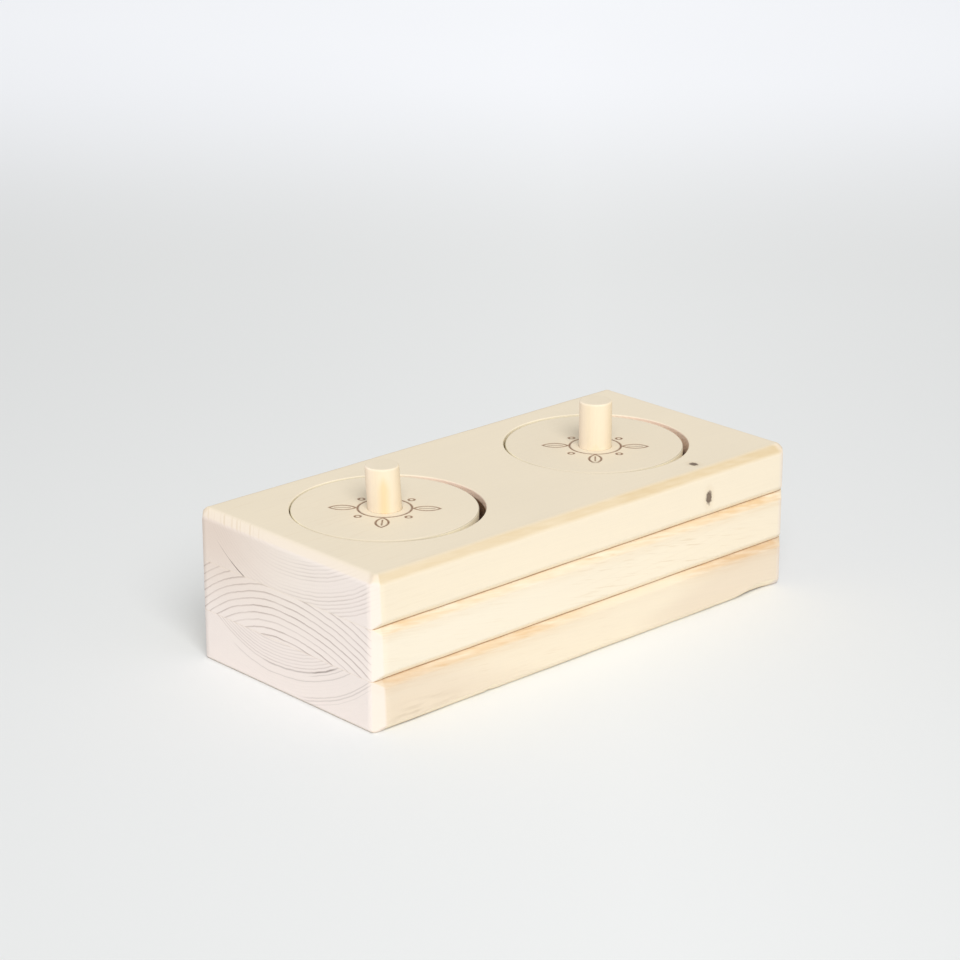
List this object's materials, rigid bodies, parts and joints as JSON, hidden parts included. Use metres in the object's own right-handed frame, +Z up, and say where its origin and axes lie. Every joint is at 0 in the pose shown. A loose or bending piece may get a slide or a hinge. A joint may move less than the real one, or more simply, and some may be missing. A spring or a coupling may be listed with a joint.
{
  "type": "wooden rabbit puzzle toy",
  "caption": "Glued softwood block with round treat wells closed by sawn plug lids that lift off by dowel pegs; a foraging puzzle for rabbits and other small pets.",
  "frame": {"origin": "middle of the block's underside, on the surface it stands on", "axes": "+X along the grain from the near end to the far end, +Y from the front long side to the back long side, +Z up"},
  "size_m": [0.2014, 0.094, 0.073],
  "materials": {
    "boards": "planed and sanded, raw",
    "lids": "sawn and sanded, raw",
    "pegs": "turned rod, raw",
    "dowels": "turned rod, raw"
  },
  "bodies": {
    "block": {"base_board": "boards", "middle_board": "boards", "top_board": "boards", "near_front_dowel": "dowels", "near_back_dowel": "dowels", "far_front_dowel": "dowels", "far_back_dowel": "dowels"},
    "near_lid": {"near_lid_disc": "lids", "near_lid_peg": "pegs"},
    "far_lid": {"far_lid_disc": "lids", "far_lid_peg": "pegs"}
  },
  "joints": [
    {"name": "near_lid_lift", "type": "slide", "parent": "block", "child": "near_lid", "axis": [0, 0, 1], "range_m": [0, 0.05]},
    {"name": "far_lid_lift", "type": "slide", "parent": "block", "child": "far_lid", "axis": [0, 0, 1], "range_m": [0, 0.05]}
  ]
}
